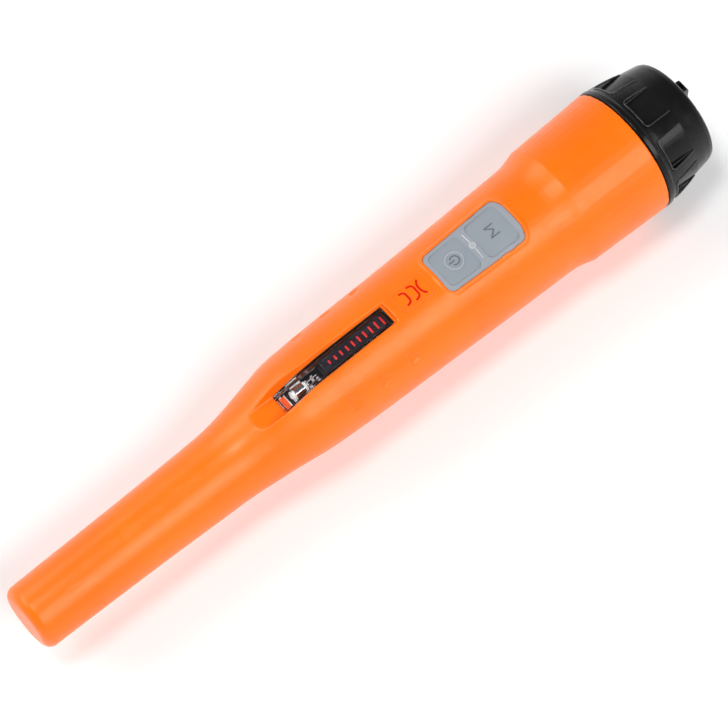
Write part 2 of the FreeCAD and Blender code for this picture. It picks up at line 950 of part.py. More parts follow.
def make_switch(name, at):
    """A tact switch: a square body with a round plunger standing in its top."""
    half = d.switch_half
    case = block(
        f"{name}_switch_case",
        (at - half, at + half),
        (-half, half),
        (d.switch_board_top, d.switch_top),
    )
    well_floor = d.switch_top - 0.8
    well = rod(f"{name}_switch_well", d.plunger_radius + 0.1, 2, at, 0, well_floor)
    keep(cut(f"{name}_switch_body", case, well), f"{name}_switch_body")
    plunger = rod(
        f"{name}_switch_plunger",
        d.plunger_radius,
        d.plunger_top - well_floor - d.key_travel - 0.05,
        at,
        0,
        well_floor + d.key_travel + 0.05,
    )
    keep(plunger, f"{name}_switch_plunger")


KEYS = {
    "power": (d.pad_start + d.pad_border, d.divider_at - d.divider_half),
    "mode": (d.divider_at + d.divider_half, d.pad_end - d.pad_border * 0.6),
}

make_skin()
for name, at in (("power", d.power_at), ("mode", d.mode_at)):
    make_key(name, at)
    make_switch(name, at)
keep(
    block(
        "switch_board",
        (d.pad_start - 1, d.pad_end + 1),
        (-d.switch_board_half, d.switch_board_half),
        (d.switch_board_top - d.board_thick, d.switch_board_top),
    ),
    "switch_board",
)
keep(
    block(
        "status_lamp",
        (d.divider_at - 0.8, d.divider_at + 0.8),
        (-0.6, 0.6),
        (d.switch_board_top, d.switch_board_top + 0.8),
    ),
    "status_lamp",
)
keep(
    rod(
        "status_light_pipe",
        d.pipe_radius,
        d.pad_front_radius + 0.3 - d.switch_board_top - 1,
        d.divider_at,
        0,
        d.switch_board_top + 1,
    ),
    "status_light_pipe",
)


# ---------------------------------------------------------------- neck, seals and screw cap


def add_thread(body, root, crest, base_width, crest_width, start, turns, phase=0):
    """A right-hand screw ridge wound about the x axis, from root to crest."""
    sketch = new_sketch(body, "XZ_Plane")
    middle = start + d.thread_pitch * phase
    draw_polygon(
        sketch,
        [
            (middle - base_width / 2, root),
            (middle + base_width / 2, root),
            (middle + crest_width / 2, crest),
            (middle - crest_width / 2, crest),
        ],
    )
    helix = body.newObject("PartDesign::AdditiveHelix", "Thread")
    helix.Profile = sketch
    helix.ReferenceAxis = (sketch, ["H_Axis"])
    helix.Mode = "pitch-turns-angle"
    bind(helix, Pitch=d.thread_pitch, Turns=turns)
    return volume_change(body, helix, False)


def make_neck():
    """A sleeve glued into the collar; its threaded neck stands out and carries the cap."""
    body = new_body("neck_insert")
    shoulder = d.collar_end + 0.15
    groove = d.neck_start + 5
    revolve(
        body,
        [
            (d.neck_start, d.neck_bore),
            (d.neck_start, d.neck_fit_radius),
            (groove, d.neck_fit_radius),
            (groove, d.neck_fit_radius - 1.1),
            (groove + 1.8, d.neck_fit_radius - 1.1),
            (groove + 1.8, d.neck_fit_radius),
            (d.collar_end, d.neck_fit_radius),
            (d.collar_end, d.neck_root + 0.6),
            (shoulder, d.neck_root),
            (d.neck_end - 0.8, d.neck_root),
            (d.neck_end, d.neck_root - 0.5),
            (d.neck_end, d.neck_bore),
        ],
    )
    add_thread(
        body,
        d.neck_root - 0.3,
        d.thread_top,
        d.thread_base_width,
        d.thread_crest_width,
        d.thread_start,
        d.neck_thread_turns,
    )
    return keep(body, "neck_insert")


def make_cap():
    """The screw cap: a rim flange, eight finger pockets and a bar for the lanyard."""
    body = new_body("battery_cap")
    flange, end = d.flange_end, d.cap_rim
    revolve(
        body,
        [
            (d.cap_start, d.seal_bore),
            (d.cap_start, d.collar_radius - 0.25),
            (d.cap_start + 0.25, d.collar_radius),
            (flange - 0.35, d.collar_radius),
            (flange, d.collar_radius - 0.35),
            *[(flange + beyond, radius) for beyond, radius in CAP_FLANK],
            *[(end - before, radius) for before, radius in CAP_SHOULDER],
            (end, d.dish_radius + 1.2),
            (d.dish_floor, d.dish_radius),
            (d.dish_floor, 0),
            (d.cap_inner_end, 0),
            (d.cap_inner_end, d.cap_well),
            (d.cap_thread_end + 1.2, d.cap_well),
            (d.cap_thread_end, d.cap_bore),
            (d.seal_end, d.cap_bore),
            (d.seal_end, d.seal_bore),
        ],
    )
    sketch = new_sketch(body, "XZ_Plane")
    draw_polygon(
        sketch,
        [
            (flange + d.pocket_inset, d.pocket_floor),
            (end, d.pocket_floor - 0.1),
            (end, d.collar_radius + 1),
            (flange + d.pocket_inset + 0.6, d.collar_radius + 1),
        ],
    )
    groove = body.newObject("PartDesign::Groove", "FingerPocket")
    groove.Profile = sketch
    groove.ReferenceAxis = (sketch, ["H_Axis"])
    groove.Midplane = True
    bind(groove, Angle=d.pocket_angle)
    volume_change(body, groove, True)
    ring = body.newObject("PartDesign::PolarPattern", "FingerPockets")
    ring.Originals = [groove]
    ring.Axis = (sketch, ["H_Axis"])
    ring.Angle = 360
    bind(ring, Occurrences=d.pocket_count)
    body.Tip = ring
    doc.recompute()
    if ring.Shape.Volume >= groove.Shape.Volume:
        raise RuntimeError("the finger pockets aren't repeated round the cap")

    reach, rim, crest = d.bar_half_length, d.cap_rim, d.total_length
    foot = d.cap_inner_end + d.bar_foot_gap
    half_plan = [
        (foot, reach + d.bar_foot_gap),
        (rim - d.bar_foot_gap, reach + d.bar_flare),
        (crest - d.bar_bevel_along, reach),
        (crest, reach - d.bar_bevel_across),
    ]
    bar = new_sketch(body, "XZ_Plane")
    draw_polygon(bar, half_plan + [(x, -across) for x, across in reversed(half_plan)])
    pad(body, bar, d.bar_half_width * 2, middle=True)
    core_half, core_top = d.bar_half_width - d.bar_skin, crest - d.bar_core_roof
    for side in (1, -1):
        core = new_sketch(body, "XY_Plane", (reach + d.bar_core_start) * side)
        draw_polygon(
            core,
            [
                (rim + 0.1, core_half),
                (core_top, core_half),
                (core_top, -core_half),
                (rim + 0.1, -core_half),
            ],
        )
        pocket(body, core, d.bar_core_depth, back=side < 0)
        lug = new_sketch(body, "XY_Plane")
        draw_polygon(
            lug,
            [
                (rim - d.lug_root, d.lug_inner * side),
                (rim + d.lug_height, d.lug_top_inner * side),
                (rim + d.lug_height, d.lug_top_outer * side),
                (rim - d.lug_root, d.lug_outer * side),
            ],
        )
        pad(body, lug, d.lug_length, middle=True)
    eye = new_sketch(body, "XZ_Plane")
    draw_circle(eye, d.eye_at, 0, d.eye_radius)
    pocket(body, eye, d.dish_radius * 2 - 1, middle=True)
    add_thread(
        body,
        d.cap_bore + 0.2,
        d.cap_thread_tip,
        d.thread_base_width,
        d.thread_crest_width,
        d.thread_start,
        d.cap_thread_turns,
        phase=0.5,
    )
    return keep(body, "battery_cap")


def make_ring(label, radius, thickness, at):
    """A round-section seal ring."""
    ring = doc.addObject("Part::Torus", label)
    ring.Placement.Rotation = FreeCAD.Rotation(FreeCAD.Vector(0, 1, 0), 90)
    bind(ring, Radius1=radius, Radius2=thickness)
    return keep(place(ring, at), label)


make_neck()
make_cap()
make_ring("neck_seal", d.neck_fit_radius - 0.53, as_size(0.54), d.neck_start + 5.9)
turned(
    "cap_seal",
    [
        (d.cap_start + 0.1, d.thread_top + 0.2),
        (d.cap_start + 0.1, d.seal_bore - 0.1),
        (d.seal_end - 0.1, d.seal_bore - 0.1),
        (d.seal_end - 0.1, d.thread_top + 0.2),
    ],
)
turned(
    "cap_pad",
    [
        (d.battery_end + 0.2, 0),
        (d.battery_end + 0.2, d.cap_well - 1.2),
        (d.cap_inner_end, d.cap_well - 1.2),
        (d.cap_inner_end, 0),
    ],
)


# ---------------------------------------------------------------- battery and its bay


def upright_box(label, x_range, wide, deep, corner):
    """A rounded-rectangle bar along x, wide across y and deep along z."""
    body = new_body(label)
    sketch = new_sketch(body, "YZ_Plane", x_range[0])
    draw_polygon(
        sketch,
        [
            (wide / 2, deep / 2),
            (-wide / 2, deep / 2),
            (-wide / 2, -deep / 2),
            (wide / 2, -deep / 2),
        ],
    )
    pad(body, sketch, x_range[1] - x_range[0])
    rounded(body, corner, is_lengthwise)
    return body


def is_lengthwise(edge):
    """True for a straight edge along x."""
    ends = [vertex.Point for vertex in edge.Vertexes]
    if len(ends) != 2:
        return False
    step = ends[1] - ends[0]
    return abs(step.x) > 1 and math.hypot(step.y, step.z) < 1e-4


def make_bay():
    """An open-ended sleeve round the battery's front end, with a wall for the contact board."""
    wall = d.bay_wall
    body = upright_box(
        "battery_bay",
        (d.bay_start, d.bay_end),
        d.battery_wide + wall * 2,
        d.battery_deep + wall * 2,
        d.battery_corner + wall,
    )
    hollow = new_sketch(body, "YZ_Plane", d.bay_start + wall)
    wide, deep = d.battery_wide / 2 + 0.05, d.battery_deep / 2 + 0.05
    cut_corner = d.battery_corner * 0.55
    draw_polygon(
        hollow,
        [
            (wide, deep - cut_corner),
            (wide - cut_corner, deep),
            (-wide + cut_corner, deep),
            (-wide, deep - cut_corner),
            (-wide, -deep + cut_corner),
            (-wide + cut_corner, -deep),
            (wide - cut_corner, -deep),
            (wide, -deep + cut_corner),
        ],
    )
    pocket(body, hollow, d.bay_end - d.bay_start, back=True)
    return keep(body, "battery_bay")


make_bay()
keep(
    upright_box(
        "battery_case",
        (d.battery_start, d.battery_end),
        d.battery_wide - 0.1,
        d.battery_deep - 0.1,
        d.battery_corner,
    ),
    "battery_case",
)
for name, side, radius in (("positive", 1, 2.9), ("negative", -1, 3.6)):
    stud = rod(
        f"{name}_terminal",
        as_size(radius),
        d.battery_start - d.terminal_start,
        d.terminal_start,
        d.terminal_offset * side,
        0,
        "x",
    )
    keep(stud, f"{name}_terminal")
keep(
    block(
        "contact_board",
        (d.bay_start + d.bay_wall, d.bay_start + d.bay_wall + 1),
        (-12, 12),
        (-5.5, 5.5),
    ),
    "contact_board",
)
group(
    "contact_springs",
    [
        rod(
            f"contact_spring_{name}",
            as_size(2.0),
            d.terminal_start - d.bay_start - d.bay_wall - 1,
            d.bay_start + d.bay_wall + 1,
            d.terminal_offset * side,
            0,
            "x",
        )
        for name, side in (("left", 1), ("right", -1))
    ],
)


# ---------------------------------------------------------------- sensing coils


def make_coil(label, start, end):
    return turned(
        label,
        [
            (start, d.former_radius),
            (start, d.coil_radius),
            (end, d.coil_radius),
            (end, d.former_radius),
        ],
    )


TRANSMIT = (d.ferrite_start + 8, d.ferrite_start + 31)
RECEIVE = (d.ferrite_start + 34, d.ferrite_start + 51)

bore = d.ferrite_radius + 0.03
barrel, flange = d.former_radius - 0.03, d.former_flange
turned(
    "coil_former",
    [
        (d.ferrite_start + 4, bore),
        (d.ferrite_start + 4, flange),
        (TRANSMIT[0], flange),
        (TRANSMIT[0], barrel),
        (TRANSMIT[1], barrel),
        (TRANSMIT[1], flange),
        (RECEIVE[0], flange),
        (RECEIVE[0], barrel),
        (RECEIVE[1], barrel),
        (RECEIVE[1], flange),
        (RECEIVE[1] + 3, flange),
        (RECEIVE[1] + 3, bore),
    ],
)
make_coil("transmit_coil", *TRANSMIT)
make_coil("receive_coil", *RECEIVE)
keep(
    rod("ferrite_rod", d.ferrite_radius, d.ferrite_end - d.ferrite_start, d.ferrite_start, 0, 0, "x"),
    "ferrite_rod",
)
turned(
    "tip_foam",
    [
        (d.tip_wall + 0.2, 0),
        (d.tip_wall + 0.2, d.ferrite_radius + 3),
        (d.ferrite_start, d.ferrite_radius + 3),
        (d.ferrite_start, 0),
    ],
)
group(
    "coil_leads",
    [
        rod(
            f"coil_lead_{index}",
            as_size(0.35),
            d.main_board_start - RECEIVE[1] - 1.5,
            RECEIVE[1] + 3,
            (index - 1.5) * 1.6,
            d.main_board_top + 0.35,
            "x",
        )
        for index in range(4)
    ],
)


# ---------------------------------------------------------------- chassis and electronics


def make_chassis():
    """The sled that carries the boards: a floor, two side rails, and a ring for the ferrite rod."""
    low = d.main_board_top - d.board_thick - 4
    floor = low + 1.6
    body = new_body("chassis")
    deck = new_sketch(body, "XY_Plane", low)
    half = d.main_board_half + 0.6
    draw_polygon(
        deck,
        [
            (d.main_board_start - 16, 5.5),
            (d.main_board_start, half),
            (d.bay_start, half),
            (d.bay_start, -half),
            (d.main_board_start, -half),
            (d.main_board_start - 16, -5.5),
        ],
    )
    pad(body, deck, floor - low)
    for side in (1, -1):
        rail = new_sketch(body, "XY_Plane", floor)
        inner = half - 1.8
        draw_polygon(
            rail,
            [
                (d.main_board_start + 2, half * side),
                (d.main_board_end - 2, half * side),
                (d.main_board_end - 2, inner * side),
                (d.main_board_start + 2, inner * side),
            ],
        )
        pad(body, rail, d.main_board_top - d.board_thick - floor)
    return body


def screw_places():
    """The four places, near its corners, where the main board is screwed to the chassis rails."""
    inset = d.main_board_half - 0.7
    for at in (d.main_board_start + 4, d.main_board_end - 4):
        for side in (1, -1):
            yield at, inset * side


def make_main_board():
    board = block(
        "main_board_blank",
        (d.main_board_start, d.main_board_end),
        (-d.main_board_half - 0.5, d.main_board_half + 0.5),
        (d.main_board_top - d.board_thick, d.main_board_top),
    )
    holes = doc.addObject("Part::Compound", "main_board_holes")
    holes.Links = [
        rod("board_hole", as_size(0.7), 4, at, y, d.main_board_top - 2)
        for at, y in screw_places()
    ]
    return keep(cut("main_board", board, holes), "main_board")


def make_board_screw(at, y):
    """A pan-head screw through the board and into a rail."""
    screw = doc.addObject("Part::MultiFuse", "board_screw")
    screw.Shapes = [
        rod("screw_head", as_size(1.15), 0.9, at, y, d.main_board_top),
        rod("screw_shank", as_size(0.6), 3.4, at, y, d.main_board_top - 3),
    ]
    return screw


keep(make_chassis(), "chassis")
make_main_board()
group("board_screws", [make_board_screw(at, y) for at, y in screw_places()])
keep(
    block(
        "detector_chip",
        (d.main_board_start + 24, d.main_board_start + 33),
        (-4.5, 4.5),
        (d.main_board_top, d.main_board_top + 1.4),
    ),
    "detector_chip",
)
keep(
    block(
        "voltage_regulator",
        (d.main_board_end - 9, d.main_board_end - 5),
        (3, 8),
        (d.main_board_top, d.main_board_top + 1.6),
    ),
    "voltage_regulator",
)
group(
    "capacitors",
    [
        rod(
            f"capacitor_{index}",
            as_size(1.9),
            2.9,
            d.main_board_start + 11 + 4.5 * index,
            y,
            d.main_board_top,
        )
        for index, y in enumerate((5.5, -5.5, 5.5))
    ],
)
keep(
    rod("piezo_buzzer", as_size(7.5), 3, d.main_board_start + 44, 0, -3),
    "piezo_buzzer",
)

motor_case = rod(
    "motor_case",
    d.motor_radius,
    d.motor_end - d.motor_start,
    d.motor_start,
    0,
    d.motor_axis,
    "x",
)
motor_bearing = rod(
    "motor_bearing", d.motor_shaft + 0.05, 4, d.motor_end - 3, 0, d.motor_axis, "x"
)
keep(cut("vibration_motor", motor_case, motor_bearing), "vibration_motor")


def make_weight():
    """The off-centre weight on its shaft, hanging straight down when the motor is at rest."""
    body = place(doc.addObject("PartDesign::Body", "motor_weight"), 0, 0, d.motor_axis)
    revolve(
        body,
        [
            (d.motor_end - 2.5, 0),
            (d.motor_end - 2.5, d.motor_shaft),
            (d.weight_end + 0.3, d.motor_shaft),
            (d.weight_end + 0.3, 0),
        ],
    )
    sketch = new_sketch(body, "YZ_Plane", d.weight_start)
    radius = d.weight_radius
    lean = radius * 0.7071
    draw_polygon(
        sketch,
        [
            (radius, 0.3),
            (radius, -radius * 0.3),
            (lean, -lean),
            (radius * 0.3, -radius),
            (-radius * 0.3, -radius),
            (-lean, -lean),
            (-radius, -radius * 0.3),
            (-radius, 0.3),
        ],
    )
    pad(body, sketch, d.weight_end - d.weight_start)
    return keep(body, "motor_weight")


make_weight()

# ---------------------------------------------------------------- check and write


def check(item):
    """Stops when a sub-part is missing, broken or not made of closed solids."""
    shape = item.Shape
    if shape.isNull() or not shape.isValid() or not shape.Solids:
        raise RuntimeError(f"{item.Label} is not a sound solid")


doc.recompute()
failed = [item.Name for item in doc.Objects if {"Invalid", "Error"} & set(item.State)]
if failed:
    raise RuntimeError(f"failed features: {failed}")
os.makedirs("parts", exist_ok=True)
for item in nodes:
    check(item)
for item in nodes:
    item.Shape.exportStep(f"parts/{item.Label}.step")
    print(f"{item.Label}: {len(item.Shape.Solids)} solid(s), {item.Shape.Volume:.1f} cubic mm")
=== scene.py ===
import math

import bmesh
import bpy
from mathutils import Matrix, Vector
from mathutils.bvhtree import BVHTree


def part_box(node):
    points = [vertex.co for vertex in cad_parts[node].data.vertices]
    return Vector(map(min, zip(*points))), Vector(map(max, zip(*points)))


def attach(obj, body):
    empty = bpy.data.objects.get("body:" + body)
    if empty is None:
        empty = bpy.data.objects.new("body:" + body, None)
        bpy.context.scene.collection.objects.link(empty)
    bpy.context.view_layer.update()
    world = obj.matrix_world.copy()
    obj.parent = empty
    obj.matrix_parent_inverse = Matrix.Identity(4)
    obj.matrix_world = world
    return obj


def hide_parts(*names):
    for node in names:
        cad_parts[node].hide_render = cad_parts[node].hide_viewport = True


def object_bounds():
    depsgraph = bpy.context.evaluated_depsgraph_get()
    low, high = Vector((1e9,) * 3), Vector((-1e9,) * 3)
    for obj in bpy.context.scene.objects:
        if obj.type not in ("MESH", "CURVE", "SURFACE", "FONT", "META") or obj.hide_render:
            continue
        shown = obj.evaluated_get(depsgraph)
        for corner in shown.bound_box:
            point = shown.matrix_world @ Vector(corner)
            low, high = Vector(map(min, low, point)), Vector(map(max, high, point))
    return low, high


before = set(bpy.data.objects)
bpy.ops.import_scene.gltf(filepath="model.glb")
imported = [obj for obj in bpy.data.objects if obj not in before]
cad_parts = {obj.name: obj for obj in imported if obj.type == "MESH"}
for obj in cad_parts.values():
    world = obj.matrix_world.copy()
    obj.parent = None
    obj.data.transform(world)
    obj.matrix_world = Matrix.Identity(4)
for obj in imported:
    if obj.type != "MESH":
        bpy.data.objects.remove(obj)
cad_low, cad_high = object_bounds()

# Places on the probe are in millimetres: from the tip, from the middle plane, and above the
# collar's axis. Widths, heights and radii of pieces are in millimetres too.
MM = 0.001
HALF_LENGTH = 0.119
AXIS_HEIGHT = 0.020


def at(x, y, z):
    """A point in the frame's metres."""
    return Vector((x * MM - HALF_LENGTH, y * MM, z * MM + AXIS_HEIGHT))


# ---------------------------------------------------------------- camera

CAMERA_AHEAD = -127.0
CAMERA_DISTANCE = 1015.0
CAMERA_ROLL = math.radians(18.4)
AIM_ALONG = 118.0
AIM_ASIDE = 1.85
WAND_TILT = math.radians(38.28)
LENS = 186.5
SENSOR = 36
CLIP_END = 20


def add_camera():
    """A long lens high over the probe, a little to its right and ahead of its tip."""
    side = Vector((0, -math.sin(CAMERA_ROLL), math.cos(CAMERA_ROLL)))
    down = Vector((0, -math.cos(CAMERA_ROLL), -math.sin(CAMERA_ROLL)))
    eye = at(CAMERA_AHEAD, 0, 0) + side * CAMERA_DISTANCE * MM
    aim = at(AIM_ALONG, 0, 0) + down * AIM_ASIDE * MM
    forward = (aim - eye).normalized()
    along = Vector((1, 0, 0))
    along = (along - forward * along.dot(forward)).normalized()
    across = forward.cross(along)
    right = along * math.cos(WAND_TILT) + across * math.sin(WAND_TILT)
    up = right.cross(forward)
    data = bpy.data.cameras.new("photo_camera")
    data.lens = LENS
    data.sensor_width = SENSOR
    data.clip_end = CLIP_END
    camera = bpy.data.objects.new("photo_camera", data)
    rotation = Matrix((right, up, -forward)).transposed()
    camera.matrix_world = Matrix.Translation(eye) @ rotation.to_4x4()
    bpy.context.scene.collection.objects.link(camera)
    bpy.context.scene.camera = camera


# ---------------------------------------------------------------- finishes

# The part of a noise pattern's values that most of it lies in.
NOISE_SPAN = (0.35, 0.65)
# The cosine between the rounded and the true normal: all of the edge wear and painted edge highlight,
# and none of it.
WEAR_AND_HIGHLIGHT_SPAN = (0.72, 0.97)
WEAR_AND_HIGHLIGHT_PATCHES = 700
BEVEL_SAMPLES = 6
# Pattern scales of moulded plastic: its cloudy tone, its patches of shine and its slow waves.
CLOUDS = 55
SHINE_PATCHES = 260
SLOW_WAVES = 120
SLOW_WAVES_SHARE = 0.4


class Finish:
    """A node material in the making: patterns in object space that drive one Principled shader."""

    def __init__(self, name, **settings):
        self.material = bpy.data.materials.new(name)
        self.material.use_nodes = True
        self.nodes = self.material.node_tree.nodes
        self.links = self.material.node_tree.links
        self.shader = self.nodes["Principled BSDF"]
        for socket, value in settings.items():
            self.shader.inputs[socket.replace("_", " ")].default_value = value
        self.place = self.nodes.new("ShaderNodeTexCoord").outputs["Object"]

    def node(self, kind, **inputs):
        made = self.nodes.new(kind)
        for name, value in inputs.items():
            self.feed(made.inputs[name.replace("_", " ")], value)
        return made

    def feed(self, socket, value):
        if isinstance(value, bpy.types.NodeSocket):
            self.links.new(value, socket)
        else:
            socket.default_value = value

    def set(self, socket, value):
        self.feed(self.shader.inputs[socket], value)

    def stretched(self, x, y, z):
        return self.node("ShaderNodeMapping", Vector=self.place, Scale=(x, y, z)).outputs["Vector"]

    def noise(self, scale, detail=2.0, place=None):
        place = place or self.place
        return self.node("ShaderNodeTexNoise", Vector=place, Scale=scale, Detail=detail).outputs["Fac"]

    def cells(self, scale):
        return self.node("ShaderNodeTexVoronoi", Vector=self.place, Scale=scale).outputs["Distance"]

    def turns(self, scale):
        """Waves along the probe, such as a winding's turns."""
        made = self.node("ShaderNodeTexWave", Vector=self.place, Scale=scale)
        made.bands_direction = "X"
        return made.outputs["Fac"]

    def spread(self, value, low, high, span=NOISE_SPAN):
        """Maps the part of a pattern within a span onto low to high."""
        made = self.node("ShaderNodeMapRange", Value=value)
        made.inputs["From Min"].default_value = span[0]
        made.inputs["From Max"].default_value = span[1]
        made.inputs["To Min"].default_value = low
        made.inputs["To Max"].default_value = high
        return made.outputs["Result"]

    def tones(self, share, first, second):
        """Mixes two colours, or a colour made before and another, by a pattern."""
        mix = self.nodes.new("ShaderNodeMix")
        mix.data_type = "RGBA"
        self.feed(mix.inputs[0], share)
        for socket, colour in ((mix.inputs[6], first), (mix.inputs[7], second)):
            self.feed(socket, colour if isinstance(colour, bpy.types.NodeSocket) else (*colour, 1))
        return mix.outputs[2]

    def times(self, first, second):
        made = self.nodes.new("ShaderNodeMath")
        made.operation = "MULTIPLY"
        self.feed(made.inputs[0], first)
        self.feed(made.inputs[1], second)
        return made.outputs[0]

    def rounding(self, radius):
        """The normal of a surface whose edges are rounded off by this radius."""
        made = self.node("ShaderNodeBevel", Radius=radius)
        made.samples = BEVEL_SAMPLES
        return made.outputs["Normal"]

    def wear(self, radius, strength):
        """A share that is high along edges, broken up by a coarse pattern."""
        true_normal = self.nodes.new("ShaderNodeNewGeometry").outputs["Normal"]
        dot = self.nodes.new("ShaderNodeVectorMath")
        dot.operation = "DOT_PRODUCT"
        self.feed(dot.inputs[0], self.rounding(radius))
        self.feed(dot.inputs[1], true_normal)
        edge = self.spread(dot.outputs["Value"], strength, 0, WEAR_AND_HIGHLIGHT_SPAN)
        return self.times(edge, self.spread(self.noise(WEAR_AND_HIGHLIGHT_PATCHES, 3), 0.3, 1))

    def relief(self, height, depth, normal):
        made = self.node("ShaderNodeBump", Height=height, Distance=depth, Normal=normal)
        return made.outputs["Normal"]


def plastic(name, tones, worn, rough, grain, depth, edge=0.3, wear=0.4, **settings):
    """Moulded plastic or rubber: a cloudy tone, an even grain, and edges painted paler, as rubbed wear
    and, on the black cap, partly as a painted highlight.
    """
    finish = Finish(name, **settings)
    colour = finish.tones(finish.spread(finish.noise(CLOUDS, 3), 0, 1), *tones)
    finish.set("Base Color", finish.tones(finish.wear(edge * MM, wear), colour, worn))
    finish.set("Roughness", finish.spread(finish.noise(SHINE_PATCHES, 4), *rough))
    waves = depth * SLOW_WAVES_SHARE * MM
    normal = finish.relief(finish.noise(SLOW_WAVES, 2), waves, finish.rounding(edge * MM))
    finish.set("Normal", finish.relief(finish.noise(grain, 2), depth * MM, normal))
    return finish.material


def metal(name, tones, rough, brushed):
    """Metal with a drawn or rolled texture and a slightly tarnished tone."""
    finish = Finish(name, Metallic=1.0)
    finish.set("Base Color", finish.tones(finish.spread(finish.noise(500, 4), 0, 1), *tones))
    lines = finish.noise(1500, 3, finish.stretched(*brushed))
    finish.set("Roughness", finish.spread(lines, *rough))
    finish.set("Normal", finish.relief(lines, 0.004 * MM, finish.rounding(0.1 * MM)))
    return finish.material


def clear_window():
    """Polished clear plastic with faint moulding waves and hairline scratches."""
    finish = Finish("clear_window", Base_Color=(0.93, 0.95, 0.98, 1), Transmission_Weight=1.0, IOR=1.49)
    scratches = finish.noise(2200, 2, finish.stretched(0.12, 1, 1))
    finish.set("Roughness", finish.spread(scratches, 0.015, 0.06))
    normal = finish.relief(finish.noise(160, 1), 0.03 * MM, finish.rounding(0.25 * MM))
    finish.set("Normal", finish.relief(scratches, 0.001 * MM, normal))
    return finish.material


def circuit_board():
    """Green solder mask over tracks, with a glossy uneven coat."""
    finish = Finish("circuit_board", Coat_Weight=0.5, Coat_Roughness=0.15)
    tracks = finish.spread(finish.cells(420), 0, 1, (0.32, 0.38))
    finish.set("Base Color", finish.tones(tracks, (0.01, 0.09, 0.035), (0.02, 0.17, 0.06)))
    finish.set("Roughness", finish.spread(finish.noise(900, 3), 0.3, 0.5))
    finish.set("Normal", finish.relief(tracks, 0.02 * MM, finish.rounding(0.1 * MM)))
    return finish.material


def copper_wire():
    """Enamelled wire wound in close turns round the long axis, painted darker in the grooves between
    turns as shade.
    """
    finish = Finish("copper_wire", Metallic=0.85, Coat_Weight=0.4)
    turns = finish.turns(900)
    finish.set("Base Color", finish.tones(turns, (0.25, 0.07, 0.02), (0.75, 0.3, 0.12)))
    finish.set("Roughness", finish.spread(finish.noise(700, 3), 0.25, 0.45))
    finish.set("Normal", finish.relief(turns, 0.12 * MM, finish.rounding(0.2 * MM)))
    return finish.material


def grey_foam():
    """Open-cell foam: a cell pattern that is deep in its pores, painted darker there as shade."""
    finish = Finish("grey_foam", Sheen_Weight=0.3)
    cells = finish.cells(1400)
    finish.set("Base Color", finish.tones(cells, (0.06, 0.06, 0.065), (0.2, 0.2, 0.21)))
    finish.set("Roughness", finish.spread(finish.noise(900, 3), 0.8, 0.98))
    finish.set("Normal", finish.relief(cells, 0.25 * MM, finish.rounding(0.4 * MM)))
    return finish.material


def battery_wrap():
    """A printed metal battery jacket: dark, with a pale band at one end."""
    finish = Finish("battery_wrap", Metallic=0.6, Coat_Weight=0.3, Coat_Roughness=0.2)
    along = finish.node("ShaderNodeSeparateXYZ", Vector=finish.place).outputs["X"]
    band = finish.spread(along, 0, 1, (0.0795, 0.0800))
    base = finish.tones(band, (0.03, 0.045, 0.10), (0.45, 0.46, 0.48))
    finish.set("Base Color", finish.tones(finish.wear(0.5 * MM, 0.5), base, (0.6, 0.6, 0.6)))
    finish.set("Roughness", finish.spread(finish.noise(300, 4), 0.25, 0.42))
    finish.set("Normal", finish.relief(finish.noise(700, 2), 0.01 * MM, finish.rounding(0.5 * MM)))
    return finish.material


ORANGE_SHEEN = {
    "Sheen_Weight": 0.02,
    "Sheen_Roughness": 0.35,
    "Sheen_Tint": (1.0, 0.72, 0.6, 1),
    "Specular_IOR_Level": 0.5,
    "Specular_Tint": (1.0, 0.86, 0.66, 1),
}
SILICONE = {"Sheen_Weight": 0.2, "Sheen_Roughness": 0.5, "Specular_IOR_Level": 0.4}
GLOSS = {"Specular_IOR_Level": 0.24}
RESIN = {"Coat_Weight": 0.6, "Emission_Color": (1, 0.97, 0.9, 1), "Emission_Strength": 0.5}
# A painted glow on the printed marks under the clear window.
PAINTED_MARK_GLOW = {"Emission_Color": (1, 0.02, 0.015, 1), "Emission_Strength": 0.35}
# A painted glow on the orange ledge under the clear window, standing in for its missing light.
PAINTED_LEDGE_GLOW = {"Emission_Color": (1, 0.11, 0.02, 1), "Emission_Strength": 0.6}
# A painted glow on the bright metal bits and glints under the clear window.
PAINTED_CHROME_GLOW = {"Metallic": 0.7, "Emission_Color": (1, 0.9, 0.85, 1), "Emission_Strength": 0.35}
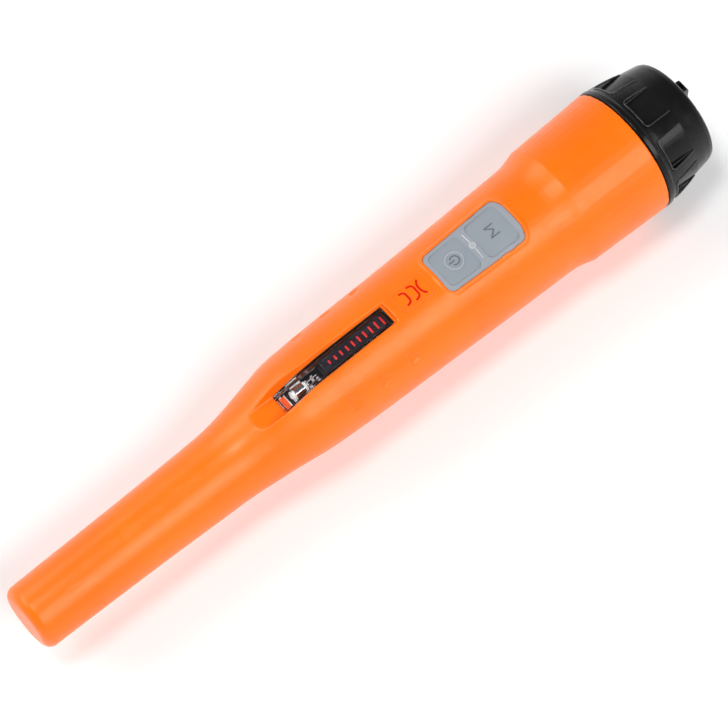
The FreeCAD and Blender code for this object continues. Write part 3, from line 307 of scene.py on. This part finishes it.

# Each plastic's two tones, its tone at worn edges (on the black cap partly a painted highlight), its
# range of roughness, and its grain's scale and depth.
PLASTICS = {
    "orange_shell": dict(
        tones=((0.94, 0.162, 0.0), (0.91, 0.146, 0.0)), worn=(1.0, 0.34, 0.08),
        rough=(0.32, 0.38), grain=2300, depth=0.014, **ORANGE_SHEEN,
    ),
    "grey_silicone": dict(
        tones=((0.28, 0.305, 0.34), (0.25, 0.275, 0.31)), worn=(0.42, 0.46, 0.49),
        rough=(0.5, 0.62), grain=2600, depth=0.012, **SILICONE,
    ),
    # The black cap's paler edges are partly wear and partly a painted highlight.
    "black_cap": dict(
        tones=((0.005, 0.005, 0.0055), (0.008, 0.008, 0.0085)), worn=(0.05, 0.05, 0.052),
        rough=(0.2, 0.3), grain=2800, depth=0.008, wear=0.6, **GLOSS,
    ),
    "black_plastic": dict(
        tones=((0.018, 0.018, 0.019), (0.03, 0.03, 0.031)), worn=(0.08, 0.08, 0.08),
        rough=(0.4, 0.55), grain=2400, depth=0.016,
    ),
    "black_rubber": dict(
        tones=((0.012, 0.012, 0.012), (0.022, 0.021, 0.02)), worn=(0.05, 0.05, 0.05),
        rough=(0.6, 0.75), grain=3200, depth=0.02,
    ),
    "dark_label": dict(
        tones=((0.026, 0.021, 0.030), (0.034, 0.027, 0.038)), worn=(0.09, 0.08, 0.1),
        rough=(0.3, 0.42), grain=3000, depth=0.004, edge=0.05, **GLOSS,
    ),
    "white_lamp": dict(
        tones=((0.85, 0.86, 0.82), (0.8, 0.82, 0.7)), worn=(0.95, 0.95, 0.9),
        rough=(0.12, 0.2), grain=1800, depth=0.003, **RESIN,
    ),
    "ferrite": dict(
        tones=((0.035, 0.033, 0.034), (0.06, 0.056, 0.055)), worn=(0.12, 0.11, 0.11),
        rough=(0.45, 0.65), grain=1500, depth=0.03,
    ),
    "red_print": dict(
        tones=((0.70, 0.003, 0.001), (0.60, 0.002, 0.0)), worn=(0.75, 0.04, 0.02),
        rough=(0.6, 0.75), grain=2600, depth=0.004, edge=0.05, Specular_IOR_Level=0.12,
    ),
    "marks_with_painted_glow": dict(
        tones=((0.8, 0.02, 0.015), (0.7, 0.015, 0.01)), worn=(0.8, 0.1, 0.08),
        rough=(0.35, 0.5), grain=2600, depth=0.004, edge=0.05, **PAINTED_MARK_GLOW,
    ),
    "ledge_with_painted_glow": dict(
        tones=((0.92, 0.13, 0.01), (0.85, 0.10, 0.01)), worn=(1.0, 0.3, 0.1),
        rough=(0.25, 0.4), grain=1800, depth=0.02, **PAINTED_LEDGE_GLOW,
    ),
    "chrome_with_painted_glow": dict(
        tones=((0.8, 0.78, 0.76), (0.6, 0.58, 0.57)), worn=(0.95, 0.95, 0.95),
        rough=(0.12, 0.3), grain=1500, depth=0.03, edge=0.1, **PAINTED_CHROME_GLOW,
    ),
    "key_face": dict(
        tones=((0.25, 0.28, 0.315), (0.22, 0.25, 0.285)), worn=(0.38, 0.42, 0.45),
        rough=(0.42, 0.55), grain=2600, depth=0.012, **SILICONE,
    ),
    # The power ring's paler grey is a painted highlight on its raised bead.
    "ring_painted_highlight": dict(
        tones=((0.34, 0.37, 0.405), (0.30, 0.33, 0.365)), worn=(0.45, 0.49, 0.52),
        rough=(0.36, 0.48), grain=2600, depth=0.008, **SILICONE,
    ),
    # The symbols' darker grey is painted shade along their raised lines.
    "symbols_painted_shade": dict(
        tones=((0.10, 0.12, 0.135), (0.12, 0.14, 0.155)), worn=(0.2, 0.22, 0.24),
        rough=(0.4, 0.5), grain=2600, depth=0.004, edge=0.05,
    ),
    "smoked_pipe": dict(
        tones=((0.42, 0.44, 0.45), (0.36, 0.38, 0.39)), worn=(0.5, 0.5, 0.5),
        rough=(0.15, 0.25), grain=2600, depth=0.002, edge=0.1,
    ),
    # The pocket rims' tone, a little paler than the cap's, is a painted highlight along the pockets'
    # edges.
    "pocket_rim_painted_highlight": dict(
        tones=((0.016, 0.016, 0.017), (0.022, 0.022, 0.023)), worn=(0.08, 0.08, 0.082),
        rough=(0.18, 0.26), grain=2800, depth=0.004, edge=0.1, Specular_IOR_Level=0.6,
    ),
    "white_print": dict(
        tones=((0.52, 0.54, 0.55), (0.45, 0.47, 0.48)), worn=(0.8, 0.8, 0.8),
        rough=(0.4, 0.55), grain=2600, depth=0.004, edge=0.05,
    ),
}
METALS = {
    "bright_metal": dict(
        tones=((0.82, 0.83, 0.85), (0.66, 0.67, 0.7)), rough=(0.1, 0.24), brushed=(0.2, 1, 1),
    ),
    "brass_disc": dict(
        tones=((0.72, 0.5, 0.18), (0.55, 0.36, 0.13)), rough=(0.22, 0.4), brushed=(1, 0.2, 1),
    ),
}
FINISHES = {name: plastic(name, **look) for name, look in PLASTICS.items()}
FINISHES.update({name: metal(name, **look) for name, look in METALS.items()})
for make in (clear_window, circuit_board, copper_wire, grey_foam, battery_wrap):
    FINISHES[make.__name__] = make()


def finish_cad_nodes():
    """Gives every CAD node the finish of its slot, but the lamp board and light pipe their own."""
    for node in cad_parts.values():
        for polygon in node.data.polygons:
            polygon.use_smooth = True
        for place in node.material_slots:
            base = place.material.name.split(".")[0] if place.material else ""
            if base in FINISHES:
                place.material = FINISHES[base]
    for node, finish in (("status_light_pipe", "smoked_pipe"), ("lamp_board", "dark_label")):
        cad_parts[node].material_slots[0].material = FINISHES[finish]


# ---------------------------------------------------------------- shape helpers

BEAD_SMOOTHNESS = 3
LINE_STEP = 0.3
ARC_STEP = 8
ARC_LEAST_STEPS = 6
DEEPEST_GAP = 1.2
BRACKET_CORNER = 1.2
BRACKET_SPLAY = 0.12


def new_piece(name, mesh, body, finish):
    piece = bpy.data.objects.new(name, mesh)
    bpy.context.scene.collection.objects.link(piece)
    mesh.materials.clear()
    mesh.materials.append(FINISHES[finish])
    for polygon in mesh.polygons:
        polygon.use_smooth = True
    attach(piece, body)
    return piece


def applied(thing):
    """The mesh of an object as its modifiers leave it."""
    bpy.context.scene.collection.objects.link(thing)
    evaluated = thing.evaluated_get(bpy.context.evaluated_depsgraph_get())
    mesh = bpy.data.meshes.new_from_object(evaluated)
    bpy.data.objects.remove(thing)
    return mesh


def moulded(node, body, slot, finish, voxel, passes, keep):
    """The node's shape with its edges softened as a mould leaves them, shown in the node's place."""
    rough = bpy.data.objects.new(node + "_rough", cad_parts[node].data.copy())
    remesh = rough.modifiers.new("remesh", "REMESH")
    remesh.mode = "VOXEL"
    remesh.voxel_size = voxel * MM
    smooth = rough.modifiers.new("smooth", "SMOOTH")
    smooth.factor = 0.5
    smooth.iterations = passes
    thin = rough.modifiers.new("thin", "DECIMATE")
    thin.ratio = keep
    piece = new_piece(node + "_moulded", applied(rough), body, finish)
    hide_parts(node)


def surface_of(*nodes):
    """The CAD nodes' surface, to lay lines on."""
    corners, faces = [], []
    for node in nodes:
        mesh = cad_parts[node].data
        count = len(corners)
        corners += [vertex.co.copy() for vertex in mesh.vertices]
        faces += [[count + corner for corner in polygon.vertices] for polygon in mesh.polygons]
    return BVHTree.FromPolygons(corners, faces)


def height_on(surface, x, y):
    """The surface's height at a place, or its brim's where the place is over a narrow gap."""
    above = Vector((x, y, cad_high[2]))
    brim = surface.find_nearest(above)[0].z
    hit = surface.ray_cast(above, Vector((0, 0, -1)))[0]
    return hit.z if hit and hit.z > brim - DEEPEST_GAP * MM else brim


def arc(x, y, radius, start, end, radius_y=None):
    """Points of an arc in the plan, in degrees from the way to the collar."""
    steps = max(ARC_LEAST_STEPS, int(abs(end - start) / ARC_STEP))
    radius_y = radius_y or radius
    angles = [math.radians(start + (end - start) * step / steps) for step in range(steps + 1)]
    return [(x + radius * math.cos(angle), y + radius_y * math.sin(angle)) for angle in angles]


def bracket(x, depth, tall):
    """An open bracket across the probe, its back at x and its ends towards the tip."""
    middle, reach = x - BRACKET_CORNER, tall - BRACKET_CORNER
    end = tall + BRACKET_SPLAY
    upper = arc(middle, reach, BRACKET_CORNER, 90, 0)
    lower = arc(middle, -reach, BRACKET_CORNER, 0, -90)
    return [(x - depth, end)] + upper + lower + [(x - depth, -end)]


def rounded_plan(low, high, front, rear, corner):
    """A closed plan between two places along the probe, with its own half width at each."""
    return (
        arc(high - corner, rear - corner, corner, 0, 90)
        + arc(low + corner, front - corner, corner, 90, 180)
        + arc(low + corner, corner - front, corner, 180, 270)
        + arc(high - corner, corner - rear, corner, 270, 360)
    )


def walked(points, closed, step):
    """The same line with a point at least every step, so that it can follow a round surface."""
    ends = points[1:] + points[:1] if closed else points[1:]
    line = []
    for start, end in zip(points, ends):
        count = max(1, math.ceil(math.dist(start, end) / step))
        line += [tuple(a + (b - a) * n / count for a, b in zip(start, end)) for n in range(count)]
    return line if closed else line + [points[-1]]


def bead(name, lines, width, closed=False):
    """The mesh of a round-backed bead along each line of points."""
    data = bpy.data.curves.new(name, "CURVE")
    data.dimensions = "3D"
    data.bevel_depth = width / 2 * MM
    data.bevel_resolution = BEAD_SMOOTHNESS
    data.use_fill_caps = True
    for line in lines:
        spline = data.splines.new("POLY")
        spline.points.add(len(line) - 1)
        for point, place in zip(spline.points, line):
            point.co = (*place, 1)
        spline.use_cyclic_u = closed
    return applied(bpy.data.objects.new(name, data))


def raised_line(name, strokes, surface, body, finish, width, height, sink=0.0, closed=False):
    """Lines moulded on or printed on a surface: beads that lie along it, as high as is said."""
    level = -AXIS_HEIGHT / MM
    lines = [[at(x, y, level) for x, y in walked(stroke, closed, LINE_STEP)] for stroke in strokes]
    mesh = bead(name, lines, width, closed)
    for vertex in mesh.vertices:
        ground = height_on(surface, vertex.co.x, vertex.co.y)
        vertex.co.z = ground + vertex.co.z * height / (width / 2) - sink * MM
    new_piece(name, mesh, body, finish)


# ---------------------------------------------------------------- moulded shells

# Node, body, slot, finish, grid of the softened copy, smoothing passes, share of faces kept.
SHELLS = (
    ("main_housing", "housing", "orange_shell", "orange_shell", 0.28, 4, 0.35),
    ("battery_cap", "cap", "black_cap", "black_cap", 0.18, 5, 0.4),
    ("keypad_skin", "housing", "grey_silicone", "grey_silicone", 0.12, 3, 0.5),
    ("power_key", "power_button", "grey_silicone", "key_face", 0.12, 6, 0.5),
    ("mode_key", "mode_button", "grey_silicone", "key_face", 0.12, 6, 0.5),
)


# ---------------------------------------------------------------- icon

ICON = 137.3
ICON_HALF_LENGTH = 5.6
ICON_FRONT_HALF = 3.3
ICON_REAR_HALF = 3.7
ICON_CORNER = 1.5


def add_icon():
    """Three sound arcs in a rounded frame, between the window and the keypad."""
    top = surface_of("main_housing")
    start, end = ICON - ICON_HALF_LENGTH, ICON + ICON_HALF_LENGTH
    outline = rounded_plan(start, end, ICON_FRONT_HALF, ICON_REAR_HALF, ICON_CORNER)
    raised_line(
        "icon_frame", [outline], top, "housing", "orange_shell",
        width=0.5, height=0.24, closed=True,
    )
    arcs = [
        bracket(ICON - 1.7, 1.7, 1.95),
        bracket(ICON + 1.3, 1.8, 2.2),
        arc(ICON + 3.8, 0, 1.5, 103, 257, 2.45),
    ]
    raised_line(
        "icon_arcs", arcs, top, "housing", "red_print", width=0.62, height=0.07,
    )


# ---------------------------------------------------------------- keypad

POWER = 152.4
MODE = 166.1
DIVIDER = 159.1
# How much a key's half width grows along the keypad.
KEY_TAPER = 1.0 / 26.6
KEY_CORNER = 1.8
WEB_SINK = 0.42
DISC_RADIUS = 2.6
LIGHT_RING_RADIUS = 0.85
DIVIDER_START = 1.05
DIVIDER_REACH = 4.6


def add_key_webs():
    """The web that closes the gap round each key. It stays with the skin when a key is pressed."""
    top = surface_of("power_key", "mode_key", "keypad_skin")
    for key in ("power_key", "mode_key"):
        key_low, key_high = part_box(key)
        front, rear = ((end[0] + HALF_LENGTH) / MM for end in (key_low, key_high))
        half = key_high[1] / MM
        taper = (rear - front) * KEY_TAPER
        raised_line(
            key + "_web", [rounded_plan(front, rear, half - taper, half, KEY_CORNER)],
            top, "housing", "key_face",
            width=0.9, height=0.35, sink=WEB_SINK, closed=True,
        )


def add_key_symbols():
    """A power symbol in a raised ring, and a zigzag letter for the mode; the ring is painted paler as a
    highlight and the symbols darker as shade.
    """
    power_top = surface_of("power_key")
    power_symbol = [
        arc(POWER + 0.15, 0, 1.35, -140, 140),
        [(POWER - 1.9, 0), (POWER + 0.1, 0)],
    ]
    mode_symbol = [
        (MODE + 1.5, 1.7),
        (MODE - 1.5, 1.7),
        (MODE + 0.7, 0),
        (MODE - 1.5, -1.7),
        (MODE + 1.5, -1.7),
    ]
    raised_line(
        "power_disc", [arc(POWER, 0, DISC_RADIUS, 0, 352)],
        power_top, "power_button", "ring_painted_highlight", width=0.62, height=0.3, closed=True,
    )
    raised_line(
        "power_symbol", power_symbol,
        power_top, "power_button", "symbols_painted_shade", width=0.42, height=0.14,
    )
    raised_line(
        "mode_symbol", [mode_symbol],
        surface_of("mode_key"), "mode_button", "symbols_painted_shade", width=0.4, height=0.14,
    )


def add_divider():
    """A printed line between the keys, broken by a ring round the status light."""
    top = surface_of("keypad_skin")
    halves = [[(DIVIDER, side * DIVIDER_START), (DIVIDER, side * DIVIDER_REACH)] for side in (1, -1)]
    raised_line(
        "keypad_divider", halves, top, "housing", "white_print",
        width=0.42, height=0.2,
    )
    raised_line(
        "status_ring", [arc(DIVIDER, 0, LIGHT_RING_RADIUS, 0, 345)],
        top, "housing", "white_print", width=0.36, height=0.2, closed=True,
    )


# ---------------------------------------------------------------- cap

FLANGE_END = 217.4
# The cap's flank: the distance past its flange, and the radius there.
FLANK = ((0.15, 19.55), (2.2, 19.4), (4.8, 19.05), (7.6, 18.5), (10.6, 17.75))
POCKETS = 8
POCKET_HALF = math.radians(15.5)
POCKET_FRONT = FLANGE_END + 1.3
POCKET_REAR = FLANGE_END + 10.2
POCKET_CORNER = 1.3
RIM_WIDTH = 0.5
RIM_STEP = 0.4


def flank_radius(x):
    """The cap's radius at a distance from the tip."""
    for (near, wide), (far, narrow) in zip(FLANK, FLANK[1:]):
        if x - FLANGE_END <= far:
            return wide + (narrow - wide) * (x - FLANGE_END - near) / (far - near)
    return FLANK[-1][1]


def pocket_rim(middle):
    """The U along one finger pocket's edges: its sides and its front, open towards the cap's end."""
    front_radius = flank_radius(POCKET_FRONT)
    half = POCKET_HALF * front_radius
    turn = POCKET_FRONT + POCKET_CORNER
    plan = walked(
        [(POCKET_REAR, half)]
        + arc(turn, half - POCKET_CORNER, POCKET_CORNER, 90, 180)
        + arc(turn, POCKET_CORNER - half, POCKET_CORNER, 180, 270)
        + [(POCKET_REAR, -half)],
        False,
        RIM_STEP,
    )
    path = []
    for x, aside in plan:
        angle = middle + aside / front_radius
        radius = flank_radius(x)
        path.append(at(x, radius * math.sin(angle), radius * math.cos(angle)))
    return path


def add_pocket_rims():
    # Beads along the pockets' edges, with a painted highlight in their paler finish.
    rims = [pocket_rim(2 * math.pi * n / POCKETS) for n in range(POCKETS)]
    new_piece("pocket_rims", bead("pocket_rims", rims, RIM_WIDTH), "cap", "pocket_rim_painted_highlight")


# ---------------------------------------------------------------- window

# Bright clips and solder round the lamp and its leads, given a painted glow.
CLIPS = (
    [(94.6, -1.9), (94.6, 1.9)],
    [(100.6, -1.7), (99.9, 1.7)],
    [(101.9, 0.2), (102.2, 1.8)],
    [(103.6, -1.6), (103.2, 0.4)],
    [(98.4, -2.4), (101.2, -2.5)],
    [(95.4, 2.5), (98.8, 2.6)],
)
# Painted glints: glowing beads where edges of the clear plastic catch the light at the window's front
# end.
GLINTS = (
    [(90.9, -1.0), (90.9, 1.6)],
    [(91.3, 2.2), (92.0, 2.5)],
    [(91.0, -2.3), (92.2, -2.4)],
    [(92.9, -2.3), (92.9, 2.3)],
)
# An orange ledge under the front of the clear plastic, given a painted glow.
LEDGE = 91.6
LEDGE_HALF = 2.1
# A row of printed level marks that grow towards the collar, given a painted glow.
MARK_COUNT = 10
FIRST_MARK = 107.5
MARK_PITCH = 2.1
MARK_HALF = 0.6
MARK_GROWTH = 0.08


def add_window_details():
    """What shows through the clear window: the bright parts round the lamp, an orange ledge, painted
    glints and the label's marks, all given a painted glow.
    """
    board = surface_of("lamp_board")
    raised_line(
        "lamp_clips", CLIPS, board, "housing", "chrome_with_painted_glow", width=0.8, height=0.9,
    )
    raised_line(
        "window_ledge", [[(LEDGE, -LEDGE_HALF), (LEDGE, LEDGE_HALF)]],
        board, "housing", "ledge_with_painted_glow", width=2.5, height=0.5,
    )
    raised_line(
        "window_glints", GLINTS, board, "housing", "chrome_with_painted_glow",
        width=0.4, height=0.62,
    )
    marks = []
    for n in range(MARK_COUNT):
        x = FIRST_MARK + MARK_PITCH * n
        reach = MARK_HALF + MARK_GROWTH * n
        marks.append([(x, -reach), (x, reach)])
    raised_line(
        "label_marks", marks, surface_of("window_label"), "housing", "marks_with_painted_glow",
        width=0.62, height=0.04,
    )


# ---------------------------------------------------------------- studio

# Name, place, width and depth in metres, and power in watts.
LIGHTS = (
    ("key", (0.15, -0.9, 1.0), (1.2, 0.7), 13.5),
    ("fill", (-0.5, 0.9, 0.9), (1.4, 0.6), 11),
    ("top", (-0.22, 0.12, 1.3), (0.34, 0.26), 5),
)
# The sky's brightness, at and below the first height and at and above the second.
SKY_HEIGHTS = (0.12, 0.5)
SKY_BRIGHTNESS = (0.95, 0.14)
FLOOR_HALF = 3
PAPER_TONES = ((0.94, 0.94, 0.94), (0.96, 0.96, 0.96))


def add_light(name, place, size, power):
    data = bpy.data.lights.new(name, "AREA")
    data.shape = "RECTANGLE"
    data.size, data.size_y = size
    data.energy = power
    light = bpy.data.objects.new(name, data)
    light.location = place
    light.rotation_euler = (-Vector(place)).to_track_quat("-Z", "Y").to_euler()
    bpy.context.scene.collection.objects.link(light)


def add_sky():
    """A white sky that is brightest low down."""
    world = bpy.data.worlds.new("studio")
    bpy.context.scene.world = world
    world.use_nodes = True
    nodes, links = world.node_tree.nodes, world.node_tree.links
    height = nodes.new("ShaderNodeSeparateXYZ")
    links.new(nodes.new("ShaderNodeTexCoord").outputs["Generated"], height.inputs[0])
    glow = nodes.new("ShaderNodeMapRange")
    glow.inputs["From Min"].default_value, glow.inputs["From Max"].default_value = SKY_HEIGHTS
    glow.inputs["To Min"].default_value, glow.inputs["To Max"].default_value = SKY_BRIGHTNESS
    links.new(height.outputs["Z"], glow.inputs["Value"])
    links.new(glow.outputs["Result"], nodes["Background"].inputs["Strength"])
    nodes["Background"].inputs["Color"].default_value = (1, 1, 1, 1)


def add_floor():
    """A sheet of near-white paper under the probe."""
    built = bmesh.new()
    bmesh.ops.create_grid(built, x_segments=1, y_segments=1, size=FLOOR_HALF)
    mesh = bpy.data.meshes.new("floor")
    built.to_mesh(mesh)
    built.free()
    floor = bpy.data.objects.new("floor", mesh)
    bpy.context.scene.collection.objects.link(floor)
    paper = Finish("paper_floor")
    paper.set("Base Color", paper.tones(paper.noise(3, 2), *PAPER_TONES))
    paper.set("Roughness", paper.spread(paper.noise(8, 2), 0.75, 0.85))
    mesh.materials.append(paper.material)


# ---------------------------------------------------------------- the scene

add_camera()
finish_cad_nodes()
for shell in SHELLS:
    moulded(*shell)
add_icon()
add_key_webs()
add_key_symbols()
add_divider()
add_pocket_rims()
add_window_details()
for light in LIGHTS:
    add_light(*light)
add_sky()
add_floor()
bpy.context.scene.view_settings.view_transform = "Standard"
